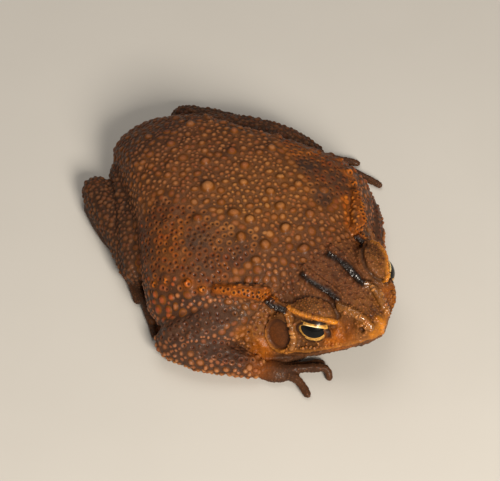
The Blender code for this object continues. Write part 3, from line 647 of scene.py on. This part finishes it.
def lay_head_beads(skin, beads):
    """Rows of beads on the ridges and rims of the head, over the lip and round the nostrils."""
    for side in SIDES:
        for path, width, _ in crests(side):
            beads.string(path, 0.42, 1.3 * width, 0.5, 0.1)
        for path, width, _ in PALE_RIDGES:
            beads.string([turned_head(p, side) for p in path], 0.36, 0.9 * width, 0.42, 0.24)
        beads.string([by_the_eye(p, side) for p in LID_RIM], 0.3, 0.34, 0.28, 0.06)
        for rise, scatter in ((1.0, 0.12), (1.7, 0.3)):
            path = [(f, r + 0.1, mouth_level(f) + rise) for f, r in LIP_LINE]
            beads.string([mirrored(p, side) for p in path], 0.55, 0.46, 0.35, scatter)
        nostril = turned_head(NOSTRIL, side)
        for turn in np.arange(0.0, math.tau, math.tau / 7):
            place = (nostril[0] + 0.85 * math.cos(turn), nostril[1], nostril[2] + 0.85 * math.sin(turn))
            beads.add(skin.nearest(place), beads.draw.uniform(0.45, 0.7), 0.2)
    beads.string(KEEL, 0.4, 0.45, 0.3, 0.3)


def lay_glands(skin, beads):
    """The pitted gland behind each ear, the warts behind it and the red warts of the flank."""
    for side in SIDES:
        path = [(*mirrored(p, side), w) for p, w in zip(GLAND, GLAND_WIDTHS)]
        for row, (forward, right, up, width) in enumerate(evenly(path, 0.7)):
            for across in np.arange(-width / 2 + 0.2 * (row % 2), width / 2 + 0.01, 0.8):
                place = (forward - 0.6 * across, right - 0.6 * across * SIDES[side], up)
                beads.add(skin.nearest(np.array(place) + beads.draw.normal(0, 0.06, 3)), 1.1, 0.4, 1.15)
        for forward, right, up, diameter in GLAND_ROW:
            index = skin.nearest(mirrored((forward, right, up), side))
            beads.add(index, diameter, 0.22 * diameter)
            for shift in (-0.22, 0.22):
                place = mirrored((forward + shift * diameter, right - 0.1, up), side)
                beads.pierce(skin.nearest(place), PIT_RADIUS)
        for forward, right, up, diameter in FLANK_WARTS:
            beads.add(skin.nearest(mirrored((forward, right, up), side)), diameter, 0.22 * diameter)


def mark_torso(skin):
    """The low flank, and the field of pits behind the arm, from 0 to 1."""
    torso = skin.zones["torso"]
    side = np.where(skin.right > 0, skin.right, -skin.right - 3.0)
    edge = 8.0 + 0.36 * np.clip(skin.forward - 2.0, 0, None)
    low = step_between(edge + 0.5, edge - 0.7, skin.up)
    skin.flank = torso * low * step_between(14.5, 12.0, skin.forward)
    pitted = torso * step_between(-9.5, -5.5, skin.forward) * step_between(12.0, 9.0, skin.forward)
    pitted *= step_between(5.0, 8.0, side + 0.35 * (skin.forward - 2.0)) * (1 - skin.flank)
    skin.pitted = pitted


def lay_beads(skin):
    """All the warts, granules and dark spots, each size on its own part of the body."""
    mark_torso(skin)
    zones = skin.zones
    pitted = skin.pitted
    beads = Beads(skin, 11)
    top = step_between(-0.2, 0.5, skin.outward[:, 2])
    torso = zones["torso"]
    limbs = zones["arm"] + zones["leg"]
    level = step_between(0.7, 0.92, skin.outward[:, 2])
    crown = zones["head"] * level * step_between(16.5, 18.5, skin.forward)
    crown *= step_between(3.4, 2.6, np.abs(skin.right - 0.5))
    lid = sum(skin.around(by_the_eye(LID_TOP_MIDDLE, side), 3.4) for side in SIDES)
    bare = skin.crest + skin.rim + skin.lip + skin.lid_rim + skin.groove + skin.drum + skin.opening > 0.25
    chest = sum(skin.around(mirrored(place, side), reach) for place, reach in CHEST for side in SIDES)
    smooth = np.clip(1 - chest, 0, 1)
    for forward, right, diameter in BACK_WARTS:
        beads.add(skin.on_top(forward, right), 1.1 * diameter, 0.06 * diameter)
    lay_glands(skin, beads)
    lay_head_beads(skin, beads)
    beads.fill(1.35, 0.62, 0.05, 0.6 * pitted * ~bare, 1.0 * (pitted > 0.5))
    open_torso = torso * (1 - pitted) * smooth
    upper_arm = zones["arm"] * step_between(0.2, 0.7, skin.outward[:, 2]) * step_between(2.8, 3.8, skin.up)
    skin.upper_arm = upper_arm
    beads.fill(1.1, 0.75, 0.08, 0.08 * upper_arm * ~bare, 1.0 * (upper_arm > 0.5))
    beads.fill(1.05, 0.66, 0.32, 0.08 * zones["arm"] * step_between(4.0, 2.4, skin.up) * ~bare)
    beads.fill(1.2, 0.8, 0.17, 0.016 * torso * top * (1 - pitted))
    beads.fill(0.9, 0.7, 0.22, 0.1 * (open_torso + limbs * smooth) * ~bare)
    beads.fill(0.6, 0.74, 0.22, 0.35 * (open_torso + 0.012 * pitted + limbs * smooth) * ~bare)
    neck = zones["head"] * step_between(20.0, 17.0, skin.forward) * (1 - crown) * smooth
    beads.fill(0.6, 1.0, 0.2, 0.03 * neck * ~bare)
    loose = (0.004 * zones["head"] * (1 - crown) + 0.004 * zones["jaw"]) * (1 - lid)
    beads.fill(0.42, 1.2, 0.24, loose * ~bare)
    fine = 0.12 * lid + 0.05 * crown + zones["foot"] + 0.1 * zones["hand"] + 0.03 * pitted
    beads.fill(0.32, 1.0, 0.2, fine * ~bare)
    skin.spots = dark_spots(skin, beads.draw, np.clip(crown + 0.7 * lid + 0.8 * neck, 0, 1) * ~bare)
    skin.raised += beads.height - 0.1 * skin.spots
    skin.beads = beads


def roughen(skin):
    """Small uneven swellings, so that no form is perfectly smooth."""
    draw = np.random.default_rng(29)
    quiet = 1 - np.clip(skin.drum + skin.opening + skin.lid_edge, 0, 1)
    for steps, height in ((16, 0.010), (60, 0.04)):
        lumps = skin.spread(draw.normal(size=skin.count), steps)
        skin.raised += height * lumps / lumps.std() * quiet


def blend(base, colour, share):
    """The base colours, changed to another colour by a share for each point."""
    return base + (np.array(colour) - base) * np.clip(share, 0, 1)[:, None]


def paint(skin):
    """The colour between the beads and the colour on top of them."""
    zones = skin.zones
    ground = np.tile(np.array(BROWN), (skin.count, 1))
    tops = np.tile(np.array(TAN), (skin.count, 1))
    # Painted shade under the upper lip: the jaw below the mouth line is darkened.
    chin_shade = zones["jaw"] * step_between(-0.4, -1.0, skin.over_mouth)
    ground = blend(ground, SLATE, 0.9 * zones["arm"] + 0.8 * skin.flank)
    ground = blend(ground, PITTED_GROUND, skin.pitted)
    ground = blend(ground, UMBER, 0.9 * (zones["leg"] + zones["foot"] + 0.8 * zones["hand"]) + 0.8 * chin_shade)
    ground = blend(ground, OCHRE, 0.25 * zones["head"])
    tops = blend(tops, PINK, 0.8 * (zones["arm"] + 0.5 * zones["leg"]) + 0.6 * skin.flank)
    tops = blend(tops, UMBER, 0.65 * (zones["leg"] + zones["foot"] + zones["hand"]) + 0.4 * chin_shade)
    tops = blend(tops, PITTED_TOPS, 0.9 * skin.pitted)
    tops = blend(tops, UPPER_ARM_TOPS, 0.9 * skin.upper_arm)
    tops = blend(tops, PALE, 0.4 * zones["arm"] * step_between(3.4, 1.8, skin.up))
    wrist = sum(skin.around(place, WRIST_RADIUS) for place in WRISTS)
    ground = blend(ground, RUST, 0.7 * wrist)
    streak = 0.8 * step_between(0.0, 0.6, skin.along(ORANGE_STREAK, 1.3))
    ground, tops = blend(ground, RUST, streak), blend(tops, ORANGE, streak)
    for side in SIDES:
        for forward, right, up, radius, between, over, share in PATCHES:
            near = share * skin.around(mirrored((forward, right, up), side), radius)
            ground, tops = blend(ground, between, near), blend(tops, over, near)
        gland = step_between(0.0, 0.4, skin.along([mirrored(p, side) for p in GLAND], 1.15))
        for forward, right, up, diameter in GLAND_ROW:
            gland = np.maximum(gland, skin.around(mirrored((forward, right, up), side), 0.9 * diameter))
        ground, tops = blend(ground, RUST, gland), blend(tops, ORANGE, gland)
        for forward, right, up, diameter in FLANK_WARTS:
            tops = blend(tops, RED, 0.9 * skin.around(mirrored((forward, right, up), side), 0.8 * diameter))
    # Painted shade: the far side of the snout is darkened.
    far_cheek_shade = 0.95 * skin.around(FAR_CHEEK, FAR_CHEEK_RADIUS)
    ground = blend(ground, FAR_CHEEK_SHADE_GROUND, far_cheek_shade)
    tops = blend(tops, FAR_CHEEK_SHADE_TOPS, far_cheek_shade)
    for colours in (ground, tops):
        colours[:] = blend(colours, LIP_COLOUR, 0.8 * skin.lip)
        colours[:] = blend(colours, DRUM_COLOUR, skin.drum)
        colours[:] = blend(colours, DRUM_EDGE_COLOUR, 0.7 * skin.drum_edge)
        colours[:] = blend(colours, OCHRE, 0.9 * skin.drum_rim)
        # Painted shade in the grooves round the lids and in the nostrils.
        colours[:] = blend(colours, UMBER, 0.8 * np.clip(skin.groove, 0, 1))
        colours[:] = blend(colours, LID_RIM_COLOUR, 0.95 * skin.lid_rim)
        colours[:] = blend(colours, LID_EDGE_COLOUR, skin.lid_edge)
        # Painted shade in the crease between the lips.
        colours[:] = blend(colours, UMBER, skin.mouth_line)
        colours[:] = blend(colours, BLACK, 1.4 * skin.crest)
        colours[:] = blend(colours, SPOT_COLOUR, 0.85 * skin.spots)
    over = skin.over_mouth
    over_lip = zones["head"] * step_between(2.4, 1.6, over) * step_between(0.7, 1.0, over)
    ground = blend(ground, OCHRE, 0.8 * skin.rim)
    tops = blend(tops, RIDGE_TOPS, 0.9 * skin.rim * (skin.crest < 0.3) + 0.6 * over_lip)
    tops = blend(tops, CREST_TOPS, skin.crest)
    skin.ground, skin.tops = ground, tops
    skin.mottled = zones["head"] * (1 - np.clip(skin.crest + skin.drum + skin.opening, 0, 1))


def store(skin, name, values):
    """Keeps values on the mesh for the material to read."""
    if values.ndim == 2:
        attribute = skin.mesh.attributes.new(name, "FLOAT_COLOR", "POINT")
        rgba = np.ones((len(values), 4), np.float32)
        rgba[:, :3] = values
        attribute.data.foreach_set("color", rgba.ravel())
    else:
        attribute = skin.mesh.attributes.new(name, "FLOAT", "POINT")
        attribute.data.foreach_set("value", values.astype(np.float32))


class Nodes:
    """Short names for building a material's nodes."""

    def __init__(self, name):
        self.material = bpy.data.materials.new(name)
        self.material.use_nodes = True
        self.tree = self.material.node_tree
        self.shader = self.tree.nodes["Principled BSDF"]

    def link(self, value, socket):
        if isinstance(value, bpy.types.NodeSocket):
            self.tree.links.new(value, socket)
        else:
            socket.default_value = value

    def attribute(self, name, output="Fac"):
        node = self.tree.nodes.new("ShaderNodeAttribute")
        node.attribute_name = name
        return node.outputs[output]

    def math(self, operation, a, b=0.0):
        node = self.tree.nodes.new("ShaderNodeMath")
        node.operation = operation
        self.link(a, node.inputs[0])
        self.link(b, node.inputs[1])
        return node.outputs[0]

    def mix(self, share, a, b, kind="MIX"):
        node = self.tree.nodes.new("ShaderNodeMix")
        node.data_type = "RGBA"
        node.blend_type = kind
        self.link(share, node.inputs["Factor"])
        self.link(a if isinstance(a, bpy.types.NodeSocket) else (*a, 1.0), node.inputs["A"])
        self.link(b if isinstance(b, bpy.types.NodeSocket) else (*b, 1.0), node.inputs["B"])
        return node.outputs["Result"]

    def times(self, colour, factors):
        return self.mix(1.0, colour, factors, "MULTIPLY")

    def range(self, value, low, high, out_low=0.0, out_high=1.0):
        node = self.tree.nodes.new("ShaderNodeMapRange")
        node.interpolation_type = "SMOOTHSTEP"
        self.link(value, node.inputs["Value"])
        names = ("From Min", "From Max", "To Min", "To Max")
        for name, number in zip(names, (low, high, out_low, out_high)):
            node.inputs[name].default_value = number
        return node.outputs["Result"]

    def noise(self, scale, detail=3.0):
        place = self.tree.nodes.new("ShaderNodeTexCoord")
        node = self.tree.nodes.new("ShaderNodeTexNoise")
        node.inputs["Scale"].default_value = scale
        node.inputs["Detail"].default_value = detail
        self.tree.links.new(place.outputs["Object"], node.inputs["Vector"])
        return node.outputs["Fac"]

    def grains(self, scale):
        """Small rounded grains, side by side."""
        place = self.tree.nodes.new("ShaderNodeTexCoord")
        node = self.tree.nodes.new("ShaderNodeTexVoronoi")
        node.inputs["Scale"].default_value = scale
        self.tree.links.new(place.outputs["Object"], node.inputs["Vector"])
        return node.outputs["Distance"]

    def bump(self, height, strength, distance):
        node = self.tree.nodes.new("ShaderNodeBump")
        node.inputs["Strength"].default_value = strength
        node.inputs["Distance"].default_value = distance
        self.link(height, node.inputs["Height"])
        return node.outputs["Normal"]


def skin_material():
    """Brown between the beads, lighter on them with painted shade round their feet, dark in the pits, with
    fine grains all over.
    """
    nodes = Nodes("toad_skin")
    dome = nodes.attribute("dome")
    pit = nodes.attribute("pit")
    wet = nodes.attribute("wet")
    patchy = nodes.noise(260.0)
    fine = nodes.noise(2600.0, 4.0)
    grains = nodes.grains(4200.0)
    plain = nodes.attribute("ground", "Color")
    blotches = nodes.range(nodes.noise(1100.0, 4.0), 0.48, 0.62)
    mottle = nodes.math("MULTIPLY", blotches, nodes.attribute("mottled"))
    plain = nodes.mix(nodes.math("MULTIPLY", mottle, 0.22), plain, nodes.times(plain, (1.6, 1.8, 1.6)))
    ground = nodes.mix(nodes.range(patchy, 0.38, 0.68), plain, nodes.times(plain, (0.62, 0.64, 0.72)))
    ground = nodes.mix(nodes.range(grains, 0.15, 0.6), nodes.times(ground, (1.35, 1.3, 1.3)), ground)
    tops = nodes.attribute("tops", "Color")
    warm = nodes.mix(nodes.attribute("tint"), tops, nodes.times(tops, (0.66, 0.48, 0.46)))
    colour = nodes.mix(nodes.range(dome, 0.05, 0.95), ground, warm)
    foot = nodes.math("MULTIPLY", nodes.range(dome, 0.02, 0.2), nodes.range(dome, 0.75, 0.35))
    colour = nodes.mix(nodes.math("MULTIPLY", foot, nodes.attribute("large")), colour, AMBER)
    # Painted shade: a dark ring at the foot of every bead.
    seam_shade = nodes.math("MULTIPLY", nodes.range(dome, 0.01, 0.12), nodes.range(dome, 0.45, 0.15))
    colour = nodes.mix(nodes.math("MULTIPLY", seam_shade, 0.2), colour, SEAM_SHADE_COLOUR)
    colour = nodes.mix(nodes.range(pit, 0.2, 0.95), colour, PIT_COLOUR)
    colour = nodes.mix(nodes.range(fine, 0.35, 0.75, 0.0, 0.3), colour, GRIME)
    nodes.link(colour, nodes.shader.inputs["Base Color"])
    nodes.link(nodes.range(fine, 0.3, 0.75, 0.42, 0.62), nodes.shader.inputs["Roughness"])
    nodes.link(nodes.range(wet, 0.2, 1.0, 0.04, 0.9), nodes.shader.inputs["Coat Weight"])
    relief = nodes.math("SUBTRACT", fine, nodes.math("MULTIPLY", grains, 0.8))
    nodes.link(nodes.bump(relief, 0.25, 0.00008), nodes.shader.inputs["Normal"])
    nodes.shader.inputs["Specular IOR Level"].default_value = 0.12
    nodes.shader.inputs["Coat Roughness"].default_value = 0.12
    return nodes.material


def make_skin():
    """One skin in place of all the nodes of flesh."""
    mesh = finer_head(even_mesh(whole_form(), FACE_SIZE))
    skin = Skin(mesh)
    head = skin.spread((-skin.points[:, 1] > HEAD_STARTS).astype(float), 4)
    skin.settle(np.full(skin.count, 0.5), HEAD_SMOOTHING)
    skin.settle(0.5 * (1 - head), BODY_SMOOTHING - HEAD_SMOOTHING)
    skin.measure()
    skin.points -= skin.outward * (SWELL - 0.1)
    shape_lids(skin)
    shape_ears(skin)
    skin.measure()
    mark_zones(skin)
    raise_ridges(skin)
    cut_mouth(skin)
    lay_beads(skin)
    roughen(skin)
    paint(skin)
    skin.points += skin.outward * skin.raised[:, None]
    skin.points[:, 2] = np.maximum(skin.points[:, 2], 0.0)
    mesh.vertices.foreach_set("co", (skin.points * MM).astype(np.float32).ravel())
    mesh.update()
    mesh.shade_smooth()
    store(skin, "dome", skin.beads.dome)
    store(skin, "pit", skin.beads.pit)
    store(skin, "large", skin.beads.large)
    store(skin, "tint", skin.beads.tint)
    store(skin, "wet", np.clip(skin.crest + skin.rim + 0.6 * skin.lid_rim + 0.4 * skin.beads.dome, 0, 1))
    store(skin, "mottled", skin.mottled)
    store(skin, "ground", skin.ground)
    store(skin, "tops", skin.tops)
    mesh.materials.clear()
    mesh.materials.append(skin_material())
    made = holder_of("skin", mesh)
    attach(made, "root")
    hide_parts(*FLESH)


def eye_material():
    """A black pupil, flat on top, in a gold ring that is palest above it."""
    nodes = Nodes("wet_eye")
    across = nodes.math("ABSOLUTE", nodes.math("DIVIDE", nodes.attribute("across"), PUPIL_HALF_WIDTH))
    above = nodes.math("SUBTRACT", nodes.attribute("above"), PUPIL_MIDDLE)
    lower = nodes.math("ABSOLUTE", nodes.math("DIVIDE", nodes.math("MINIMUM", above, 0.0), PUPIL_BELOW))
    upper = nodes.math("DIVIDE", nodes.math("MAXIMUM", above, 0.0), PUPIL_ABOVE)
    tall = nodes.math("ADD", nodes.math("POWER", lower, 2.0), nodes.math("POWER", upper, 2.6))
    reach = nodes.math("ADD", nodes.math("POWER", across, 2.0), tall)
    speckle = nodes.noise(2400.0, 5.0)
    iris = nodes.mix(nodes.range(speckle, 0.35, 0.65), GOLD, IRIS_SPECKLES)
    pale = nodes.math("MULTIPLY", nodes.range(above, 0.1, 0.7), nodes.range(across, 0.85, 0.35))
    ring = nodes.mix(pale, DULL_GOLD, CREAM)
    gold = nodes.mix(nodes.range(reach, 1.15, 1.55), ring, iris)
    gold = nodes.mix(nodes.range(reach, 2.0, 3.0), gold, IRIS_EDGE)
    colour = nodes.mix(nodes.range(reach, 0.96, 1.02), PUPIL_COLOUR, gold)
    nodes.link(colour, nodes.shader.inputs["Base Color"])
    nodes.shader.inputs["Roughness"].default_value = 0.3
    nodes.shader.inputs["Specular IOR Level"].default_value = 0.1
    nodes.shader.inputs["Coat Weight"].default_value = 0.15
    nodes.shader.inputs["Coat Roughness"].default_value = 0.03
    return nodes.material


def make_eye(side, shared):
    """An eyeball with a low cornea, and its own measure of place for the iris."""
    form = bmesh.new()
    bmesh.ops.create_uvsphere(form, u_segments=128, v_segments=96, radius=EYE_RADIUS)
    for vertex in form.verts:
        off = math.hypot(vertex.co.x, vertex.co.y)
        if vertex.co.z > 0:
            vertex.co.z += CORNEA_RISE * max(0.0, 1 - (off / CORNEA_RADIUS) ** 2)
    mesh = bpy.data.meshes.new("eye_" + side)
    form.to_mesh(mesh)
    form.free()
    mesh.shade_smooth()
    places = np.array([vertex.co for vertex in mesh.vertices])
    for name, column in (("across", 0), ("above", 1)):
        values = mesh.attributes.new(name, "FLOAT", "POINT")
        front = np.where(places[:, 2] > 0, places[:, column], 9.0)
        values.data.foreach_set("value", front.astype(np.float32))
    centre, axes = looking(by_the_eye(EYE_CENTRE, side), EYE_TURN, EYE_RISE, side)
    turned = Matrix(axes.T.tolist()).to_4x4()
    mesh.transform(Matrix.Scale(MM, 4) @ Matrix.Translation(centre) @ turned)
    mesh.materials.append(shared)
    made = holder_of("eyeball_" + side, mesh)
    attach(made, "root")
    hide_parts("eye_" + side)


def make_floor():
    """A plain pale floor."""
    nodes = Nodes("pale_floor")
    grain = nodes.noise(40.0)
    nodes.link(nodes.mix(grain, (0.52, 0.50, 0.47), (0.56, 0.54, 0.51)), nodes.shader.inputs["Base Color"])
    nodes.shader.inputs["Roughness"].default_value = 0.8
    form = bmesh.new()
    bmesh.ops.create_grid(form, x_segments=2, y_segments=2, size=0.6)
    mesh = bpy.data.meshes.new("floor")
    form.to_mesh(mesh)
    form.free()
    mesh.materials.append(nodes.material)
    holder_of("floor", mesh)


def light(name, place, size, watts, colour):
    """A square lamp that shines at the toad."""
    lamp = bpy.data.lights.new(name, "AREA")
    lamp.size = size
    lamp.energy = watts
    lamp.color = colour
    made = holder_of(name, lamp)
    made.location = place
    made.rotation_euler = Vector(place).to_track_quat("Z", "Y").to_euler()


def make_studio():
    """Soft lamps, a pale surround and the camera at the photo's angle."""
    for name, lamp in LAMPS.items():
        light(name, *lamp)
    surround = bpy.data.worlds.new("surround")
    surround.use_nodes = True
    surround.node_tree.nodes["Background"].inputs["Color"].default_value = (1.0, 0.95, 0.88, 1.0)
    surround.node_tree.nodes["Background"].inputs["Strength"].default_value = 0.18
    bpy.context.scene.world = surround
    azimuth, elevation = math.radians(CAMERA_AZIMUTH), math.radians(CAMERA_ELEVATION)
    level = math.cos(elevation)
    back = Vector((math.sin(azimuth) * level, -math.cos(azimuth) * level, math.sin(elevation)))
    camera = holder_of("camera", bpy.data.cameras.new("camera"))
    camera.location = Vector(CAMERA_AIM) + back * CAMERA_DISTANCE
    camera.rotation_euler = back.to_track_quat("Z", "Y").to_euler()
    camera.data.sensor_width = 36.0
    camera.data.lens = 150.9
    camera.data.clip_start = 0.01
    camera.data.clip_end = 10.0
    bpy.context.scene.camera = camera
    bpy.context.scene.view_settings.view_transform = "Standard"


def main():
    make_skin()
    wet = eye_material()
    for side in SIDES:
        make_eye(side, wet)
    make_floor()
    make_studio()


main()
